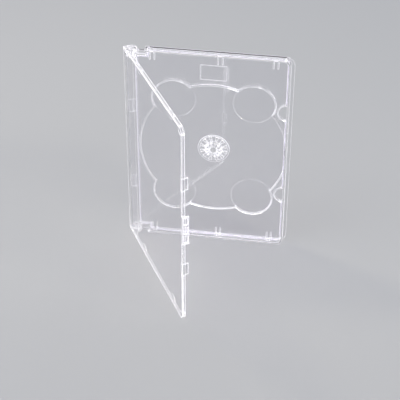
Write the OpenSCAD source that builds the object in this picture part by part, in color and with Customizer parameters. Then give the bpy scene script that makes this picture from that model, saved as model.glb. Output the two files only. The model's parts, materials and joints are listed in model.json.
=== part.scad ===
// Clear hinged disc case in the tall format, standing open like a book.
// Three mouldings: a back cover with a round spine, a disc tray that snaps
// into it, and a front cover that swings on two pins at the ends of the spine.
//
// Each piece is drawn lying flat on its back: X runs from the spine to the
// free edge, Y up the case and Z from the back of the case to its front.
// stand() then sets it up on its bottom edge, and swing() opens the front cover.

/* [Case] */
// Width of the back cover, from the spine to the free edge
case_w = 137; // [136:0.5:145]
// Height of both covers, along the hinge
case_h = 184; // [176:1:200]
// Thickness of the closed case
case_t = 10.4; // [10:0.1:12]
// Depth of the back cover, from its back face to its rim
rim_d = 7.4; // [7:0.1:7.8]
// Thickness of the rims of both covers
wall = 1.5; // [1.2:0.1:1.8]
// Thickness of the flat panels of both covers
panel_t = 1.2; // [1:0.1:1.4]
// Radius of the back panel's corners at the free edge
corner_r = 7.6; // [6.4:0.1:9]
// Width of the ledge that the back panel leaves outside the rim
ledge = 2.8; // [2.2:0.1:3]
// Gap between the two rims when the case is shut
seam = 0.1; // [0.05:0.05:0.3]

/* [Hinge] */
// Angle by which the front cover stands open
open_angle = 60; // [0:5:175]
// Gap between the round spine and the cover that rolls round it
spine_gap = 0.2; // [0.15:0.05:0.4]
// Flat lip at the front of the spine
spine_lip = 2.4; // [1.6:0.1:3]
// Radius of the hinge pins
pin_r = 1.8; // [1.4:0.1:2.2]
// Radial clearance of the pins in their ears
pin_fit = 0.05; // [0.03:0.01:0.08]
// Length of the hinge pins
pin_l = 3.2; // [2.4:0.1:3.5]
// Thickness of the cover's hinge arms
arm_t = 3; // [2.4:0.1:4]
// Width of the hinge arms, from the spine edge
arm_w = 15; // [13:0.5:18]
// Thickness of the ears that close the ends of the spine
ear_t = 3.5; // [3:0.1:5]
// Gap between an arm and its ear, and between an arm and the rim's end
arm_gap = 0.3; // [0.2:0.05:0.5]

/* [Disc tray] */
// Radius of the disc recess
recess_r = 61.6; // [61:0.1:62]
// Depth of the disc recess
recess_d = 1.7; // [1.4:0.1:1.9]
// Wall thickness of the tray
tray_t = 1; // [0.8:0.1:1.1]
// Height of the tray's top face above the back of the case
tray_top = 4.2; // [4:0.1:4.6]
// Gap between the tray and the rim round it
tray_fit = 0.2; // [0.1:0.05:0.3]
// How far the recess runs past the strip along the free edge
recess_clip = 2.2; // [1.5:0.1:3]
// Radius of the four thumb notches
lobe_r = 17.4; // [15:0.2:18]
// Distance of the thumb notches from the hub, across the case
lobe_x = 33.3; // [30:0.1:36]
// Distance of the thumb notches from the hub, up the case
lobe_y = 46.4; // [43:0.1:48]
// How much deeper the thumb notches are than the recess
lobe_sink = 0.2; // [0.1:0.05:0.25]
// Radius of the two half-round latch pockets
pocket_r = 7; // [6.4:0.1:8]
// Width of the tray's snap tongues
tongue_w = 3; // [2.4:0.1:4]
// Length of the tray's snap tongues
tongue_l = 8; // [6:0.5:10]
// Width of the slits beside the snap tongues
slit = 0.8; // [0.6:0.1:1]

/* [Hub] */
// Radius of the hub where the disc sits
hub_r = 7.35; // [7.3:0.01:7.4]
// Radius of the raised bead that holds the disc down
bead_r = 7.58; // [7.5:0.01:7.6]
// Radius of the raised ring that carries the disc
seat_r = 13.4; // [13:0.1:15]
// Height of that ring above the recess floor
seat_up = 0.4; // [0.3:0.1:0.6]
// Number of spring fingers
fingers = 12; // [8:1:14]
// Width of the cuts between the fingers at the hub
finger_cut = 0.8; // [0.6:0.1:0.9]
// Height of the fingers above the ring
finger_h = 3.4; // [3:0.1:4]
// Radius of the hole in the middle of the fingers
eye_r = 2.6; // [2:0.1:3]

/* [Latches and grip] */
// Distance of the latch tabs from the middle of the case
latch_y = 41; // [36:1:46]
// Length of a latch tab
latch_l = 11; // [8:0.5:12]
// How far the latch tabs reach below the front cover's rim
latch_d = 3.2; // [2.6:0.1:5]
// Thickness of the latch tabs
latch_t = 1.2; // [0.9:0.1:1.4]
// Length of the finger grip
grip_l = 26; // [20:1:32]
// Thickness of the finger grip
grip_t = 1.8; // [1.4:0.1:2]
// How far the grip reaches below the front cover's rim
grip_d = 2.4; // [2:0.1:4]
// Radius of the four booklet tabs
booklet_r = 5; // [4:0.5:7]
// Thickness of the booklet tabs
booklet_t = 0.7; // [0.5:0.1:0.9]
// Distance of the booklet tabs from the hub, across the case
booklet_x = 36; // [28:1:42]
// Radius of the two pads in the front cover's round corners
pad_r = 3.4; // [2:0.2:4.6]

/* [Hidden] */
$fn = 96;
e = 0.01;

// The hinge line lies as far from the spine's side as from its back
hinge_r = (case_t - panel_t - spine_gap) / 2;
arm_zone = arm_t + arm_gap;
jog_x = arm_w + arm_gap;
rim_x = case_w - ledge;
rim_r = corner_r - ledge + 0.8;
tray_x0 = hinge_r + spine_lip + 0.7;
tray_x1 = rim_x - wall - tray_fit;
tray_y0 = wall + tray_fit;
tray_y1 = case_h - tray_y0;
tray_r = max(1, rim_r - wall - tray_fit);
corner_x = jog_x + wall + tray_fit;
snap_x0 = corner_x + tongue_w / 2 + slit + 1.6;
snap_x1 = tray_x1 - tray_r - tongue_w / 2 - slit - 4.3;
snap_x = [snap_x0, (snap_x0 + snap_x1) / 2 + 5.5, snap_x1];
strip_w = tray_t + 0.1;
hub_x = tray_x1 - strip_w - (recess_r - recess_clip);
hub_y = case_h / 2;
floor_top = max(tray_top - recess_d, panel_t + tray_t + lobe_sink);
floor_under = floor_top - tray_t;
seat_top = floor_top + seat_up;
corner_y = arm_zone + ear_t + tray_fit;
lid_in = case_t - panel_t;
lip_d = rim_d + seam;
nub_out = 0.9;
nub_d = 1;
catch_y = 38;
catch_l = 12;
catch_reach = 3.2;
catch_over = 1;
mark_w = 22;
mark_h = 14;
mark_line = 0.6;
mark_up = 0.2;
mark_x = hub_x - 0.5;
mark_y = tray_y1 - tongue_l - 1.2 - mark_h / 2;

// Corners of the open front cover about the hinge line, for the footprint
lid_far = rim_x + grip_t + tray_fit - hinge_r;
lid_out = case_t - hinge_r;
lid_corners = [[-hinge_r, lid_out], [lid_far, lid_out], [lid_far, lip_d - grip_d - hinge_r]];
lid_x = [for (p = lid_corners) hinge_r + p[0] * cos(open_angle) - p[1] * sin(open_angle)];
lid_z = [for (p = lid_corners) hinge_r + p[0] * sin(open_angle) + p[1] * cos(open_angle)];
foot_x0 = min(0, min(lid_x));
foot_x1 = max(case_w, max(lid_x));
foot_z0 = min(0, min(lid_z));
foot_z1 = max(2 * hinge_r, max(lid_z));

// Stands a piece on its bottom edge, over the middle of the open case's footprint
module stand()
    translate([-(foot_x0 + foot_x1) / 2, (foot_z0 + foot_z1) / 2, 0])
        rotate([90, 0, 0]) children();

// Turns a piece about the hinge line, its free edge towards the front
module swing(angle)
    translate([hinge_r, 0, hinge_r]) rotate([0, -angle, 0])
        translate([-hinge_r, 0, -hinge_r]) children();

// Extrudes an outline drawn in X and Z up the case, from y0 to y1
module along_hinge(y0, y1)
    translate([0, y1, 0]) rotate([90, 0, 0]) linear_extrude(y1 - y0) children();

// Extrudes an outline drawn in X and Y through the depths z0 to z1
module through(z0, z1) translate([0, 0, z0]) linear_extrude(z1 - z0) children();

// Draws a feature at the bottom of the case and its mirror image at the top
module both_ends() {
    children();
    translate([0, case_h, 0]) mirror([0, 1, 0]) children();
}

// A rectangle whose two corners at the free edge are round
module page(x0, x1, y0, y1, r) {
    translate([x0, y0]) square([x1 - x0 - r, y1 - y0]);
    translate([x0, y0 + r]) square([x1 - x0, y1 - y0 - 2 * r]);
    for (y = [y0 + r, y1 - r]) translate([x1 - r, y]) circle(r);
}

// A band of one thickness along the top, the free edge and the bottom of a page
module rim_band(x0, thick)
    difference() {
        page(x0, rim_x, 0, case_h, rim_r);
        page(x0 - 1, rim_x - thick, thick, case_h - thick, max(0.5, rim_r - thick));
    }

// Back cover

module back_panel()
    through(0, panel_t) difference() {
        page(hinge_r, case_w, 0, case_h, corner_r);
        for (y = [-1, case_h - arm_zone])
            translate([0, y]) square([jog_x, arm_zone + 1]);
    }

module spine_section() {
    difference() {
        circle(hinge_r);
        circle(hinge_r - panel_t);
        translate([0, -hinge_r - 1]) square([hinge_r + 1, 2 * hinge_r + 2]);
    }
    translate([0, hinge_r - panel_t]) square([spine_lip, panel_t]);
    translate([0, -hinge_r]) square([panel_t, panel_t]);
}

module spine()
    along_hinge(arm_zone, case_h - arm_zone)
        translate([hinge_r, hinge_r]) spine_section();

// The ear closes one end of the spine and holds the front cover's pin
module ear()
    along_hinge(arm_zone, arm_zone + ear_t) difference() {
        union() {
            translate([hinge_r, hinge_r]) circle(hinge_r);
            translate([hinge_r, 0]) square([hinge_r, hinge_r]);
        }
        translate([hinge_r, hinge_r]) circle(pin_r + pin_fit);
    }

// The rim steps inwards at the hinge, to leave room for the cover's arm
module rim_jog()
    through(0, rim_d) {
        translate([2 * hinge_r - wall, arm_zone])
            square([jog_x + wall - 2 * hinge_r + wall, wall]);
        translate([jog_x, 0]) square([wall, arm_zone + wall]);
    }

module snap_nubs()
    for (x = snap_x)
        translate([x - tongue_w / 2, wall - e, tray_top + 0.1])
            cube([tongue_w, nub_out, nub_d]);

// Two blocks inside the spine hold down the tray's side hooks
module spine_catches()
    for (s = [-1, 1])
        translate([panel_t - 0.3, hub_y + s * catch_y - catch_l / 2, tray_top + 0.1])
            cube([tray_x0 - catch_reach + catch_over - panel_t + 0.3, catch_l, nub_d + 0.2]);

module back_cover()
    color("lightsteelblue", 0.5) {
        back_panel();
        through(0, rim_d) rim_band(jog_x, wall);
        spine();
        spine_catches();
        both_ends() {
            ear();
            rim_jog();
            snap_nubs();
        }
    }

// Disc tray

module tray_outline(inset = 0)
    difference() {
        page(tray_x0 + inset, tray_x1 - inset, tray_y0 + inset, tray_y1 - inset,
             max(0.5, tray_r - inset));
        for (y = [-1, case_h - corner_y - inset])
            translate([0, y]) square([corner_x + inset, corner_y + inset + 1]);
    }

module lobes(grow = 0)
    for (sx = [-1, 1], sy = [-1, 1])
        translate([hub_x + sx * lobe_x, hub_y + sy * lobe_y]) circle(lobe_r + grow);

// The disc recess with its thumb notches; grow adds a wall thickness round it
module recess(grow = 0) {
    intersection() {
        translate([hub_x, hub_y]) circle(recess_r + grow, $fn = 180);
        translate([0, 0]) square([tray_x1 - strip_w + grow, case_h]);
    }
    lobes(grow);
}

module latch_pockets(grow = 0)
    for (s = [-1, 1])
        translate([tray_x1, hub_y + s * latch_y]) circle(pocket_r + grow);

module tongue_slits()
    for (x = snap_x, s = [-1, 1])
        translate([x + s * (tongue_w + slit) / 2 - slit / 2, tray_y0 - 1])
            square([slit, tongue_l + 1]);

module tray_top_sheet()
    through(tray_top - tray_t, tray_top) difference() {
        tray_outline();
        recess();
        latch_pockets();
        tongue_slits();
        translate([0, case_h]) mirror([0, 1]) tongue_slits();
    }

module tray_skirt()
    through(panel_t, tray_top - e) difference() {
        union() {
            difference() {
                tray_outline();
                tray_outline(tray_t);
            }
            intersection() {
                tray_outline();
                latch_pockets(tray_t);
            }
        }
        latch_pockets();
        tongue_slits();
        translate([0, case_h]) mirror([0, 1]) tongue_slits();
    }

module recess_walls()
    through(floor_under, tray_top - e) difference() {
        recess(tray_t);
        recess();
        latch_pockets();
    }

module recess_floor() {
    through(floor_under, floor_top) difference() {
        recess(tray_t);
        lobes();
        translate([hub_x, hub_y]) circle(seat_r - tray_t);
    }
    through(floor_under - lobe_sink, floor_top - lobe_sink) lobes(tray_t / 2);
}

module side_hooks()
    for (s = [-1, 1])
        translate([tray_x0 - catch_reach, hub_y + s * catch_y - catch_l / 2 + tray_fit,
                   tray_top - tray_t])
            cube([catch_reach + tray_t / 2, catch_l - 2 * tray_fit, tray_t]);

// A bare raised frame on the tray, above the recess
module bare_frame()
    translate([mark_x, mark_y, tray_top - e])
        linear_extrude(mark_up + e) difference() {
            square([mark_w, mark_h], center = true);
            square([mark_w - 2 * mark_line, mark_h - 2 * mark_line], center = true);
        }

// One half of the hub's section: ring, hub wall, bead and the domed finger tips
module hub_section() {
    tip = seat_top + finger_h;
    bead = seat_top + 1.45;
    polygon([
        [eye_r, tip - 1.5], [eye_r + 0.6, tip - 0.5], [eye_r + 1.8, tip],
        [hub_r - 1.2, tip], [hub_r - 0.4, tip - 0.35], [bead_r, bead + 0.5],
        [bead_r, bead + 0.2], [hub_r, bead], [hub_r, seat_top],
        [seat_r, seat_top], [seat_r, floor_under], [seat_r - 1.4, floor_under],
        [seat_r - 1.6, seat_top - 0.9], [hub_r - 0.6, seat_top - 0.9],
        [hub_r - 1, seat_top + 0.4], [hub_r - 1, tip - 1.3],
        [hub_r - 1.7, tip - 0.9], [eye_r + 1.8, tip - 1], [eye_r + 1, tip - 1.5]
    ]);
}

// The cuts that part the fingers: narrow through the hub, wide in the ring
module finger_cuts()
    for (i = [0 : fingers - 1]) rotate((i + 0.5) * 360 / fingers) {
        translate([0, -finger_cut / 2]) square([seat_r - 2.4, finger_cut]);
        translate([hub_r + 1.9, 0]) circle(0.85, $fn = 32);
        translate([seat_r - 2.8, 0]) circle(1.2, $fn = 32);
        polygon([[hub_r + 1.9, -0.85], [seat_r - 2.8, -1.2],
                 [seat_r - 2.8, 1.2], [hub_r + 1.9, 0.85]]);
    }

module hub()
    translate([hub_x, hub_y, 0]) difference() {
        rotate_extrude($fn = 120) hub_section();
        through(-1, seat_top + finger_h + 1) finger_cuts();
    }

module disc_tray()
    color("aliceblue", 0.5) {
        tray_top_sheet();
        tray_skirt();
        recess_walls();
        recess_floor();
        side_hooks();
        bare_frame();
        hub();
    }

// Front cover

// The arm's section: a round eye on the hinge line, widening to the panel
module arm_section() {
    translate([hinge_r, hinge_r]) circle(hinge_r);
    polygon([[0, hinge_r], [2 * hinge_r, hinge_r], [arm_w, lip_d],
             [arm_w, case_t], [0, case_t]]);
}

module hinge_arm() {
    along_hinge(0, arm_t) arm_section();
    translate([hinge_r, arm_t - e, hinge_r]) rotate([-90, 0, 0])
        cylinder(r = pin_r, h = pin_l + e);
}

module front_rim()
    through(lip_d, lid_in + e) rim_band(arm_w - e, wall);

module latch_tabs()
    for (s = [-1, 1])
        translate([0, hub_y + s * latch_y - latch_l / 2, 0]) {
            translate([tray_x1 - latch_t, 0, lip_d - latch_d])
                cube([latch_t, latch_l, latch_d + lid_in - lip_d + e]);
            translate([tray_x1 - latch_t, 0, lip_d])
                cube([latch_t + tray_fit + e, latch_l, lid_in - lip_d + e]);
        }

// A ribbed pad for the fingertip, hanging outside the back cover's rim
module finger_grip() {
    cell = grip_l / 3;
    difference() {
        union() {
            translate([rim_x + tray_fit, hub_y - grip_l / 2, lip_d - grip_d])
                cube([grip_t, grip_l, case_t - lip_d + grip_d]);
            translate([rim_x - e, hub_y - grip_l / 2, lip_d])
                cube([tray_fit + 2 * e, grip_l, case_t - lip_d]);
        }
        for (i = [-1 : 1])
            translate([rim_x + tray_fit + grip_t / 2, hub_y + i * cell - cell / 2 + 1,
                       lip_d - grip_d + 0.9])
                cube([grip_t, cell - 2, case_t - lip_d + grip_d - 2]);
    }
}

module booklet_tabs()
    for (s = [-1, 1])
        through(lip_d, lip_d + booklet_t) intersection() {
            translate([hub_x + s * booklet_x, wall]) circle(booklet_r);
            translate([0, wall - 0.2]) square([case_w, booklet_r + 1]);
        }

// Round pads that stiffen the front cover's two free corners
module corner_pads()
    through(lip_d, lid_in + e) intersection() {
        page(arm_w, rim_x - e, e, case_h - e, rim_r);
        translate([rim_x - wall - pad_r / 2, wall + pad_r / 2]) circle(pad_r);
    }

module front_cover()
    color("azure", 0.5) swing(open_angle) {
        through(lid_in, case_t) page(0, rim_x, 0, case_h, rim_r);
        front_rim();
        latch_tabs();
        finger_grip();
        both_ends() {
            hinge_arm();
            booklet_tabs();
            corner_pads();
        }
    }

stand() back_cover();
stand() disc_tray();
stand() front_cover();
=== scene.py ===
"""Dresses the clear hinged disc case and sets it up as a photograph.

The three mouldings keep their CAD shapes. Each gets clear moulded plastic built from
shared shader groups: hairline scratches, dust, the waviness of moulded sheet, and the
line where two faces meet, which roughens the edges and carries a glow painted on them
as emission. The case stands on a plain pale floor in soft light.
"""

from __future__ import annotations

import json
import logging
import math
from dataclasses import dataclass, field, replace
from enum import Enum
from typing import ClassVar

import bpy
from mathutils import Matrix, Vector

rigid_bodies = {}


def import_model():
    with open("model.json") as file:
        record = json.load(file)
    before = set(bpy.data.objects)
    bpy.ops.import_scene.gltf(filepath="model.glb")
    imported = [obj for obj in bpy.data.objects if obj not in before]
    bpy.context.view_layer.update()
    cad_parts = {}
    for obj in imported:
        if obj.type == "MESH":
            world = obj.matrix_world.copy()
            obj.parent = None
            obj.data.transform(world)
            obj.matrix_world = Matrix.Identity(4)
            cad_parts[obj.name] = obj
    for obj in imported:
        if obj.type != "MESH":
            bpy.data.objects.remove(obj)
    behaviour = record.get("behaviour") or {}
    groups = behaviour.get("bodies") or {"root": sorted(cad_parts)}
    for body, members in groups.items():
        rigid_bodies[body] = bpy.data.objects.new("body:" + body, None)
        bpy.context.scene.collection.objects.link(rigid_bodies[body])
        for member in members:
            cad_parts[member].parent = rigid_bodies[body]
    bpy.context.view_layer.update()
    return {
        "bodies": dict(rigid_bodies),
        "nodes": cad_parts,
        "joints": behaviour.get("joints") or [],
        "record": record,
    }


LOG = logging.getLogger("disc_case")
MM = 0.001
BEVEL_SAMPLES = 6

Triple = tuple[float, float, float]
Pair = tuple[float, float]


class Mould(Enum):
    """The record's material slots, one for each kind of moulding."""

    COVER = "clear_cover"
    TRAY = "clear_tray"


@dataclass(frozen=True)
class QuietRing:
    """The flat of the disc recess, where the edge line's painted glow and matt
    roughness fade.

    Fields are the hub's place (X, Z) in metres, the radii in millimetres between
    which the edge line fades out and comes back, and the share of it that stays.
    """

    hub: Pair = (0.0049298, 0.092)
    fade_out: Pair = (15.0, 17.0)
    fade_in: Pair = (59.0, 61.0)
    share: float = 0.25


@dataclass(frozen=True)
class ClearFinish:
    """Crystal clear moulded polystyrene with the wear of a handled case.

    Fields are the colour of the plastic and of the light that it lets through, its
    polish and index, how strong each trace of handling and moulding is, and how the
    edges look: their rounding, their roughness and the glow painted on them as
    emission. edge_round, edge_band and flow_depth are in millimetres.
    """

    name: str
    slot: Mould
    tint: Triple
    shadow_tint: Triple
    polish: float = 0.015
    ior: float = 1.59
    scratch_scale: float = 1.0
    scratch_amount: float = 0.8
    scratch_rough: float = 0.16
    dust_scale: float = 1.0
    dust_amount: float = 0.8
    dust_rough: float = 0.35
    flow_height: float = 0.5
    flow_strength: float = 0.25
    flow_depth: float = 0.1
    edge_round: float = 0.35
    edge_band: float = 0.7
    edge_rough: float = 0.32
    # Colour and strength of the glow painted on the edge line as emission: painted
    # light, no lamp.
    painted_glow_tint: Triple = (0.95, 0.93, 1.0)
    painted_glow_strength: float = 0.62
    quiet: QuietRing | None = None


BACK_FINISH = ClearFinish(
    name="clear_cover_plastic",
    slot=Mould.COVER,
    tint=(0.975, 0.972, 0.985),
    shadow_tint=(0.86, 0.86, 0.885),
)
FRONT_FINISH = replace(
    BACK_FINISH, name="clear_front_plastic", edge_band=1.5, painted_glow_strength=0.55
)
TRAY_FINISH = ClearFinish(
    name="clear_tray_plastic",
    slot=Mould.TRAY,
    tint=(0.968, 0.966, 0.982),
    shadow_tint=(0.85, 0.85, 0.875),
    scratch_scale=1.3,
    flow_height=0.8,
    painted_glow_strength=0.75,
    quiet=QuietRing(),
)


class NodeBuilder:
    """Adds nodes to a shader tree and joins them."""

    def __init__(self, tree: bpy.types.NodeTree) -> None:
        """Keeps the tree to build in.

        Args:
            tree: a material's or a world's node tree, or a node group.
        """
        self.tree = tree

    def add(self, kind: str, **values: object) -> bpy.types.Node:
        """Adds a node.

        Args:
            kind: Blender's node type name.
            **values: attributes of the node.

        Returns:
            The new node.
        """
        node = self.tree.nodes.new(kind)
        for key, value in values.items():
            setattr(node, key, value)
        return node

    def join(self, source: bpy.types.NodeSocket, target: bpy.types.NodeSocket) -> None:
        """Links one socket to another."""
        self.tree.links.new(source, target)

    def math(
        self,
        operation: str,
        a: bpy.types.NodeSocket | float,
        b: bpy.types.NodeSocket | float,
        clamp: bool = False,
    ) -> bpy.types.NodeSocket:
        """Adds a Math node with two inputs.

        Args:
            operation: the Math node's operation.
            a: first socket or number.
            b: second socket or number.
            clamp: whether the result is kept between 0 and 1.

        Returns:
            The result's socket.
        """
        node = self.add("ShaderNodeMath", operation=operation, use_clamp=clamp)
        for slot, value in zip(node.inputs, (a, b)):
            if isinstance(value, bpy.types.NodeSocket):
                self.join(value, slot)
            else:
                slot.default_value = value
        return node.outputs[0]

    def ramp(
        self, value: bpy.types.NodeSocket, limits: Pair
    ) -> bpy.types.NodeSocket:
        """Adds a straight ramp that stays between 0 and 1.

        Args:
            value: the socket that is mapped.
            limits: the values that give 0 and 1. The first may be the larger.

        Returns:
            The result's socket.
        """
        node = self.add("ShaderNodeMapRange")
        node.inputs["From Min"].default_value = limits[0]
        node.inputs["From Max"].default_value = limits[1]
        self.join(value, node.inputs["Value"])
        return node.outputs["Result"]

    def object_place(self) -> bpy.types.NodeSocket:
        """Adds a Texture Coordinate node and returns its Object socket."""
        return self.add("ShaderNodeTexCoord").outputs["Object"]

    def group(
        self, tree: bpy.types.NodeTree, values: dict[str, float]
    ) -> bpy.types.Node:
        """Places a node group.

        Args:
            tree: the group.
            values: its inputs' names and values.

        Returns:
            The group's node.
        """
        node = self.add("ShaderNodeGroup", node_tree=tree)
        for name, value in values.items():
            node.inputs[name].default_value = value
        return node


class SurfaceGroups:
    """The shader node groups that the clear mouldings share."""

    # Each run of hairlines: its turn in radians and how far it is drawn out.
    HAIR_RUNS: ClassVar[tuple[Pair, ...]] = ((0.35, 38.0), (1.25, 52.0), (2.4, 30.0))
    HAIR_TILT: ClassVar[Triple] = (0.4, 1.0, 0.7)
    HAIR_FINENESS: ClassVar[float] = 40.0
    HAIR_DETAIL: ClassVar[float] = 2.0
    HAIR_ROUGHNESS: ClassVar[float] = 0.6
    HAIR_LIMITS: ClassVar[Pair] = (0.68, 0.76)
    # Specks lie where the distance to a cell's middle is small, in noisy patches.
    SPECK_FINENESS: ClassVar[float] = 260.0
    SPECK_LIMITS: ClassVar[Pair] = (0.13, 0.06)
    PATCH_FINENESS: ClassVar[float] = 22.0
    PATCH_LIMITS: ClassVar[Pair] = (0.5, 0.7)
    # The edge line grows as the rounded normal turns away from the face's own.
    EDGE_LIMITS: ClassVar[Pair] = (0.96, 0.78)
    FLOW_FINENESS: ClassVar[float] = 26.0
    FLOW_DETAIL: ClassVar[float] = 1.0
    FLOW_DISTORTION: ClassVar[float] = 0.4

    def __init__(self) -> None:
        """Builds each group once."""
        self.scratches = self._scratches()
        self.dust = self._dust()
        self.flow = self._flow()
        self.edges = self._edges()
        self.ring = self._ring()

    @staticmethod
    def _new(
        name: str, inputs: dict[str, float], output: str
    ) -> tuple[bpy.types.NodeTree, NodeBuilder, bpy.types.Node, bpy.types.NodeSocket]:
        """Makes an empty group with float sockets.

        Args:
            name: the group's name.
            inputs: each input's name and default.
            output: the output's name.

        Returns:
            The tree, its builder, the group's input node, and the socket that
            takes the group's result.
        """
        tree = bpy.data.node_groups.new(name, "ShaderNodeTree")
        for socket_name, default in inputs.items():
            socket = tree.interface.new_socket(
                socket_name, in_out="INPUT", socket_type="NodeSocketFloat"
            )
            socket.default_value = default
        tree.interface.new_socket(
            output, in_out="OUTPUT", socket_type="NodeSocketFloat"
        )
        build = NodeBuilder(tree)
        start = build.add("NodeGroupInput")
        end = build.add("NodeGroupOutput")
        return tree, build, start, end.inputs[output]

    def _scratches(self) -> bpy.types.NodeTree:
        """Builds hairline handling marks in three directions.

        Returns:
            The group, with the output Mask.
        """
        tree, build, start, result = self._new(
            "hairline_scratches", {"Scale": 1.0, "Amount": 0.5}, "Mask"
        )
        place = build.object_place()
        fineness = build.math("MULTIPLY", start.outputs["Scale"], self.HAIR_FINENESS)
        total: bpy.types.NodeSocket | None = None
        for turn, stretch in self.HAIR_RUNS:
            mapping = build.add("ShaderNodeMapping", vector_type="TEXTURE")
            mapping.inputs["Rotation"].default_value = [
                turn * share for share in self.HAIR_TILT
            ]
            mapping.inputs["Scale"].default_value = (1.0, 1.0 / stretch, 1.0)
            build.join(place, mapping.inputs["Vector"])
            noise = build.add("ShaderNodeTexNoise")
            noise.inputs["Detail"].default_value = self.HAIR_DETAIL
            noise.inputs["Roughness"].default_value = self.HAIR_ROUGHNESS
            build.join(mapping.outputs["Vector"], noise.inputs["Vector"])
            build.join(fineness, noise.inputs["Scale"])
            line = build.ramp(noise.outputs["Fac"], self.HAIR_LIMITS)
            total = line if total is None else build.math("MAXIMUM", total, line)
        build.join(
            build.math("MULTIPLY", total, start.outputs["Amount"], clamp=True), result
        )
        return tree

    def _dust(self) -> bpy.types.NodeTree:
        """Builds scattered specks of dust and lint.

        Returns:
            The group, with the output Mask.
        """
        tree, build, start, result = self._new(
            "dust_specks", {"Scale": 1.0, "Amount": 0.5}, "Mask"
        )
        place = build.object_place()
        cells = build.add("ShaderNodeTexVoronoi")
        build.join(place, cells.inputs["Vector"])
        build.join(
            build.math("MULTIPLY", start.outputs["Scale"], self.SPECK_FINENESS),
            cells.inputs["Scale"],
        )
        patches = build.add("ShaderNodeTexNoise")
        patches.inputs["Scale"].default_value = self.PATCH_FINENESS
        build.join(place, patches.inputs["Vector"])
        both = build.math(
            "MULTIPLY",
            build.ramp(cells.outputs["Distance"], self.SPECK_LIMITS),
            build.ramp(patches.outputs["Fac"], self.PATCH_LIMITS),
        )
        build.join(
            build.math("MULTIPLY", both, start.outputs["Amount"], clamp=True), result
        )
        return tree

    def _flow(self) -> bpy.types.NodeTree:
        """Builds the slow waviness that moulding leaves in a clear sheet.

        Returns:
            The group, with the output Height.
        """
        tree, build, start, result = self._new(
            "mould_flow", {"Scale": 1.0, "Strength": 0.5}, "Height"
        )
        noise = build.add("ShaderNodeTexNoise")
        noise.inputs["Detail"].default_value = self.FLOW_DETAIL
        noise.inputs["Distortion"].default_value = self.FLOW_DISTORTION
        build.join(build.object_place(), noise.inputs["Vector"])
        build.join(
            build.math("MULTIPLY", start.outputs["Scale"], self.FLOW_FINENESS),
            noise.inputs["Scale"],
        )
        build.join(
            build.math("MULTIPLY", noise.outputs["Fac"], start.outputs["Strength"]),
            result,
        )
        return tree

    def _edges(self) -> bpy.types.NodeTree:
        """Builds the soft line where two faces of a moulding meet, which roughens the
        edges and carries their painted glow.

        Returns:
            The group, with the output Mask.
        """
        tree, build, start, result = self._new(
            "moulded_edges", {"Radius": 0.0005, "Amount": 1.0}, "Mask"
        )
        rounded = build.add("ShaderNodeBevel", samples=BEVEL_SAMPLES)
        build.join(start.outputs["Radius"], rounded.inputs["Radius"])
        plain = build.add("ShaderNodeNewGeometry")
        turn = build.add("ShaderNodeVectorMath", operation="DOT_PRODUCT")
        build.join(rounded.outputs["Normal"], turn.inputs[0])
        build.join(plain.outputs["Normal"], turn.inputs[1])
        band = build.ramp(turn.outputs["Value"], self.EDGE_LIMITS)
        build.join(
            build.math("MULTIPLY", band, start.outputs["Amount"], clamp=True), result
        )
        return tree

    def _ring(self) -> bpy.types.NodeTree:
        """Builds the share of the edge line that stays, by distance from the hub.

        Returns:
            The group, with the output Mask.
        """
        tree, build, start, result = self._new(
            "quiet_ring",
            {
                "Hub X": 0.0,
                "Hub Z": 0.0,
                "Out Start": 0.015,
                "Out End": 0.017,
                "In Start": 0.059,
                "In End": 0.061,
                "Share": 0.25,
            },
            "Mask",
        )
        split = build.add("ShaderNodeSeparateXYZ")
        build.join(build.object_place(), split.inputs["Vector"])
        flat = build.add("ShaderNodeCombineXYZ")
        for axis in "XZ":
            build.join(
                build.math(
                    "SUBTRACT", split.outputs[axis], start.outputs[f"Hub {axis}"]
                ),
                flat.inputs[axis],
            )
        reach = build.add("ShaderNodeVectorMath", operation="LENGTH")
        build.join(flat.outputs["Vector"], reach.inputs[0])
        fade_out = build.add("ShaderNodeMapRange")
        fade_out.inputs["To Min"].default_value = 1.0
        build.join(start.outputs["Share"], fade_out.inputs["To Max"])
        fade_in = build.add("ShaderNodeMapRange")
        for fade, way in ((fade_out, "Out"), (fade_in, "In")):
            build.join(start.outputs[f"{way} Start"], fade.inputs["From Min"])
            build.join(start.outputs[f"{way} End"], fade.inputs["From Max"])
            build.join(reach.outputs["Value"], fade.inputs["Value"])
        build.join(
            build.math(
                "MAXIMUM", fade_out.outputs["Result"], fade_in.outputs["Result"]
            ),
            result,
        )
        return tree


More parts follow.
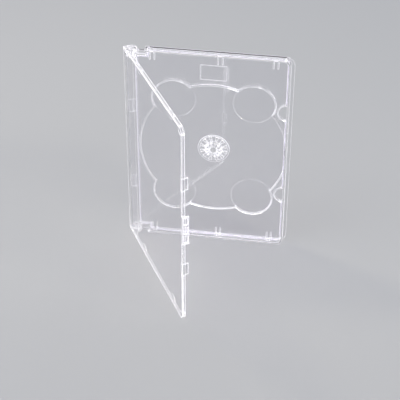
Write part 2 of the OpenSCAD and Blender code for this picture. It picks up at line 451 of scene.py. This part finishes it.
@dataclass
class ClearPlastic:
    """Builds the clear plastic's material from a finish."""

    finish: ClearFinish
    groups: SurfaceGroups

    def material(self) -> bpy.types.Material:
        """Builds the material.

        Returns:
            A glass-like material whose polish is broken by scratches and dust, whose
            edges carry a painted glow, and which lets lamp light through to what
            stands behind it.
        """
        finish = self.finish
        mat = bpy.data.materials.new(finish.name)
        mat.use_nodes = True
        mat.node_tree.nodes.clear()
        build = NodeBuilder(mat.node_tree)
        plastic = build.add("ShaderNodeBsdfPrincipled")
        plastic.inputs["Base Color"].default_value = (*finish.tint, 1.0)
        plastic.inputs["Transmission Weight"].default_value = 1.0
        plastic.inputs["Metallic"].default_value = 0.0
        plastic.inputs["IOR"].default_value = finish.ior
        edge = self._edge_mask(build)
        self._polish(build, plastic, edge)
        self._paint_edge_glow(build, plastic, edge)
        self._moulded_surface(build, plastic)
        self._output(build, plastic)
        return mat

    def _edge_mask(self, build: NodeBuilder) -> bpy.types.NodeSocket:
        """Places the edge line, which carries the matt roughness and the painted glow,
        and fades in a quiet ring if there is one.

        Args:
            build: the material's builder.

        Returns:
            The mask's socket.
        """
        edges = build.group(
            self.groups.edges, {"Radius": self.finish.edge_band * MM, "Amount": 1.0}
        )
        quiet = self.finish.quiet
        if quiet is not None:
            ring = build.group(
                self.groups.ring,
                {
                    "Hub X": quiet.hub[0],
                    "Hub Z": quiet.hub[1],
                    "Out Start": quiet.fade_out[0] * MM,
                    "Out End": quiet.fade_out[1] * MM,
                    "In Start": quiet.fade_in[0] * MM,
                    "In End": quiet.fade_in[1] * MM,
                    "Share": quiet.share,
                },
            )
            build.join(ring.outputs["Mask"], edges.inputs["Amount"])
        return edges.outputs["Mask"]

    def _polish(
        self, build: NodeBuilder, plastic: bpy.types.Node, edge: bpy.types.NodeSocket
    ) -> None:
        """Roughens the polish with scratches, dust and the matt edge line.

        Args:
            build: the material's builder.
            plastic: the Principled shader.
            edge: the edge line's mask.
        """
        finish = self.finish
        scratches = build.group(
            self.groups.scratches,
            {"Scale": finish.scratch_scale, "Amount": finish.scratch_amount},
        )
        dust = build.group(
            self.groups.dust,
            {"Scale": finish.dust_scale, "Amount": finish.dust_amount},
        )
        lines = build.math("MULTIPLY", scratches.outputs["Mask"], finish.scratch_rough)
        specks = build.math("MULTIPLY", dust.outputs["Mask"], finish.dust_rough)
        matt = build.math("MULTIPLY", edge, finish.edge_rough)
        worn = build.math("ADD", build.math("ADD", lines, specks), matt)
        build.join(
            build.math("ADD", worn, finish.polish, clamp=True),
            plastic.inputs["Roughness"],
        )

    def _paint_edge_glow(
        self, build: NodeBuilder, plastic: bpy.types.Node, edge: bpy.types.NodeSocket
    ) -> None:
        """Paints a glow along the edge line as emission, a painted highlight on the
        edges.

        Args:
            build: the material's builder.
            plastic: the Principled shader.
            edge: the edge line's mask.
        """
        # The edge mask paints a lavender-white glow as emission: painted light, no
        # lamp.
        painted_glow = build.add("ShaderNodeMix", data_type="RGBA")
        colours = [slot for slot in painted_glow.inputs if slot.type == "RGBA"]
        result = next(slot for slot in painted_glow.outputs if slot.type == "RGBA")
        colours[0].default_value = (0.0, 0.0, 0.0, 1.0)
        colours[1].default_value = (*self.finish.painted_glow_tint, 1.0)
        build.join(edge, painted_glow.inputs[0])
        build.join(result, plastic.inputs["Emission Color"])
        plastic.inputs["Emission Strength"].default_value = self.finish.painted_glow_strength

    def _moulded_surface(self, build: NodeBuilder, plastic: bpy.types.Node) -> None:
        """Rounds the edges in the shading and adds the waviness of the sheet.

        Args:
            build: the material's builder.
            plastic: the Principled shader.
        """
        finish = self.finish
        flow = build.group(self.groups.flow, {"Strength": finish.flow_height})
        edge = build.add("ShaderNodeBevel", samples=BEVEL_SAMPLES)
        edge.inputs["Radius"].default_value = finish.edge_round * MM
        bump = build.add("ShaderNodeBump")
        bump.inputs["Strength"].default_value = finish.flow_strength
        bump.inputs["Distance"].default_value = finish.flow_depth * MM
        build.join(edge.outputs["Normal"], bump.inputs["Normal"])
        build.join(flow.outputs["Height"], bump.inputs["Height"])
        build.join(bump.outputs["Normal"], plastic.inputs["Normal"])

    def _output(self, build: NodeBuilder, plastic: bpy.types.Node) -> None:
        """Joins the plastic to the output and lets lamp light pass through it.

        Args:
            build: the material's builder.
            plastic: the Principled shader.
        """
        clear = build.add("ShaderNodeBsdfTransparent")
        clear.inputs["Color"].default_value = (*self.finish.shadow_tint, 1.0)
        path = build.add("ShaderNodeLightPath")
        mix = build.add("ShaderNodeMixShader")
        out = build.add("ShaderNodeOutputMaterial")
        build.join(path.outputs["Is Shadow Ray"], mix.inputs[0])
        build.join(plastic.outputs["BSDF"], mix.inputs[1])
        build.join(clear.outputs["BSDF"], mix.inputs[2])
        build.join(mix.outputs[0], out.inputs["Surface"])


@dataclass
class Moulding:
    """One moulding of the case: a CAD node that gets its curves and its finish.

    Fields are the node's name, its finish, the sharpest turn in degrees that still
    counts as a curve, and the gap in millimetres at which mesh points are joined.
    """

    node: str
    finish: ClearFinish
    corner_angle: float = 35.0
    weld_gap: float = 0.002

    def dress(self, frame: dict, groups: SurfaceGroups) -> bpy.types.Object:
        """Smooths the moulding's curves and gives it its plastic.

        Args:
            groups: the shared shader groups.

        Returns:
            The CAD node's object.
        """
        part = frame["nodes"][self.node]
        self._smooth_curves(part)
        part.data.materials.clear()
        part.data.materials.append(ClearPlastic(self.finish, groups).material())
        LOG.info(
            "%s, slot %s: %s", self.node, self.finish.slot.value, self.finish.name
        )
        return part

    def _smooth_curves(self, part: bpy.types.Object) -> None:
        """Welds the mesh and keeps its flat faces truly flat beside the curves.

        Args:
            part: the CAD node's object.
        """
        for face in part.data.polygons:
            face.use_smooth = True
        weld = part.modifiers.new("weld", "WELD")
        weld.merge_threshold = self.weld_gap * MM
        split = part.modifiers.new("flat_faces", "EDGE_SPLIT")
        split.split_angle = math.radians(self.corner_angle)
        split.use_edge_sharp = False


@dataclass
class Stage:
    """The pale floor that the case stands on.

    Fields are half its width, the hair of air under the clear feet, which lets
    light leave them, both in metres, and the floor's colour, roughness and shine.
    """

    half: float = 3.0
    air: float = 0.0001
    colour: Triple = (0.375, 0.388, 0.42)
    roughness: float = 0.6
    shine: float = 0.2

    def build(self) -> bpy.types.Object:
        """Lays the floor.

        Returns:
            The floor.
        """
        h = self.half
        mesh = bpy.data.meshes.new("floor")
        mesh.from_pydata(
            [(-h, -h, 0), (h, -h, 0), (h, h, 0), (-h, h, 0)], [], [(0, 1, 2, 3)]
        )
        floor = bpy.data.objects.new("floor", mesh)
        floor.location.z = -self.air
        bpy.context.scene.collection.objects.link(floor)
        mat = bpy.data.materials.new("pale_floor")
        mat.use_nodes = True
        paint = mat.node_tree.nodes["Principled BSDF"]
        paint.inputs["Base Color"].default_value = (*self.colour, 1.0)
        paint.inputs["Roughness"].default_value = self.roughness
        paint.inputs["Specular IOR Level"].default_value = self.shine
        mesh.materials.append(mat)
        LOG.info("floor laid")
        return floor


@dataclass(frozen=True)
class Lamp:
    """A square soft lamp: its place and width in metres, its power and colour."""

    name: str
    place: Triple
    size: float
    power: float
    colour: Triple = (1.0, 1.0, 1.0)


WARM = (1.0, 0.9, 0.74)
LAMPS = (
    Lamp("key", (-0.9, -0.5, 1.5), 0.9, 8.5),
    Lamp("fill", (1.4, -0.9, 1.1), 1.1, 3.5),
    Lamp("rim", (0.5, 1.3, 1.2), 0.8, 4.5),
    Lamp("glint_left", (-0.55, 0.35, 0.85), 0.16, 3.6, WARM),
    Lamp("glint_right", (0.75, -0.35, 0.8), 0.14, 3.2, WARM),
)


@dataclass
class Studio:
    """Soft lamps, and a world that grows lighter towards the ceiling.

    Fields are the lamps, the point that they are aimed at, the colour and strength
    of the world's light, the colour and strengths of the world as it is seen in
    the plastic, the heights between which it grows lighter, and the light bounces.
    """

    lamps: tuple[Lamp, ...] = field(default=LAMPS)
    aim: Triple = (0.0, 0.0, 0.09)
    light_colour: Triple = (0.95, 0.97, 1.0)
    light_strength: float = 0.65
    seen_colour: Triple = (0.97, 0.98, 1.0)
    wall_strength: float = 0.45
    ceiling_strength: float = 1.0
    ceiling_limits: Pair = (0.3, 0.65)
    bounces: int = 80
    clear_bounces: int = 40

    def build(self) -> None:
        """Sets the world, hangs the lamps and lets light pass many faces."""
        scene = bpy.context.scene
        scene.world = self._world()
        for lamp in self.lamps:
            scene.collection.objects.link(self._hang(lamp))
        scene.view_settings.view_transform = "Standard"
        scene.cycles.max_bounces = self.bounces
        scene.cycles.transmission_bounces = self.bounces
        scene.cycles.glossy_bounces = self.bounces
        scene.cycles.transparent_max_bounces = self.clear_bounces
        LOG.info("studio set with %d lamps", len(self.lamps))

    def _world(self) -> bpy.types.World:
        """Builds the world.

        Returns:
            A world that is even as a light, and graded where it is seen.
        """
        world = bpy.data.worlds.new("studio")
        world.use_nodes = True
        build = NodeBuilder(world.node_tree)
        seen = world.node_tree.nodes["Background"]
        seen.inputs["Color"].default_value = (*self.seen_colour, 1.0)
        place = build.add("ShaderNodeTexCoord")
        split = build.add("ShaderNodeSeparateXYZ")
        build.join(place.outputs["Generated"], split.inputs["Vector"])
        height = build.add("ShaderNodeMapRange", interpolation_type="SMOOTHSTEP")
        height.inputs["From Min"].default_value = self.ceiling_limits[0]
        height.inputs["From Max"].default_value = self.ceiling_limits[1]
        height.inputs["To Min"].default_value = self.wall_strength
        height.inputs["To Max"].default_value = self.ceiling_strength
        build.join(split.outputs["Z"], height.inputs["Value"])
        build.join(height.outputs["Result"], seen.inputs["Strength"])
        lit = build.add("ShaderNodeBackground")
        lit.inputs["Color"].default_value = (*self.light_colour, 1.0)
        lit.inputs["Strength"].default_value = self.light_strength
        path = build.add("ShaderNodeLightPath")
        direct = build.math(
            "MAXIMUM", path.outputs["Is Camera Ray"], path.outputs["Is Glossy Ray"]
        )
        direct = build.math("MAXIMUM", direct, path.outputs["Is Transmission Ray"])
        mix = build.add("ShaderNodeMixShader")
        build.join(direct, mix.inputs[0])
        build.join(lit.outputs[0], mix.inputs[1])
        build.join(seen.outputs[0], mix.inputs[2])
        build.join(mix.outputs[0], world.node_tree.nodes["World Output"].inputs[0])
        return world

    def _hang(self, lamp: Lamp) -> bpy.types.Object:
        """Hangs one lamp, aimed at the case.

        Args:
            lamp: the lamp.

        Returns:
            The lamp's object.
        """
        light = bpy.data.lights.new(lamp.name, "AREA")
        light.shape = "SQUARE"
        light.size = lamp.size
        light.energy = lamp.power
        light.color = lamp.colour
        holder = bpy.data.objects.new(lamp.name, light)
        way = Vector(self.aim) - Vector(lamp.place)
        holder.location = lamp.place
        holder.rotation_euler = way.to_track_quat("-Z", "Y").to_euler()
        return holder


@dataclass
class PhotoCamera:
    """The camera at the photograph's place, fitted to points of the case.

    Fields are its place in metres, its right and up directions, its lens and
    sensor in millimetres, and how near it still sees, in metres.
    """

    place: Triple = (0.123005, -0.787873, 0.654389)
    right: Triple = (0.988161, 0.153396, 0.002777)
    up: Triple = (-0.091973, 0.577804, 0.810977)
    lens: float = 108.514
    sensor: float = 36.0
    nearest: float = 0.01

    def build(self) -> bpy.types.Object:
        """Sets up the camera.

        Returns:
            The camera's object.
        """
        right, up = Vector(self.right).normalized(), Vector(self.up).normalized()
        back = right.cross(up)
        turn = Matrix((right, up, back)).transposed().to_4x4()
        data = bpy.data.cameras.new("photo_camera")
        data.lens = self.lens
        data.sensor_width = self.sensor
        data.clip_start = self.nearest
        camera = bpy.data.objects.new("photo_camera", data)
        camera.matrix_world = Matrix.Translation(Vector(self.place)) @ turn
        bpy.context.scene.collection.objects.link(camera)
        bpy.context.scene.camera = camera
        LOG.info("camera set up")
        return camera


def main() -> None:
    """Loads the frame, dresses each moulding and sets the stage."""
    logging.basicConfig(level=logging.INFO)
    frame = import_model()
    groups = SurfaceGroups()
    for moulding in (
        Moulding("back_cover", BACK_FINISH),
        Moulding("disc_tray", TRAY_FINISH),
        Moulding("front_cover", FRONT_FINISH),
    ):
        moulding.dress(frame, groups)
    Stage().build()
    Studio().build()
    PhotoCamera().build()


if __name__ == "__main__":
    main()
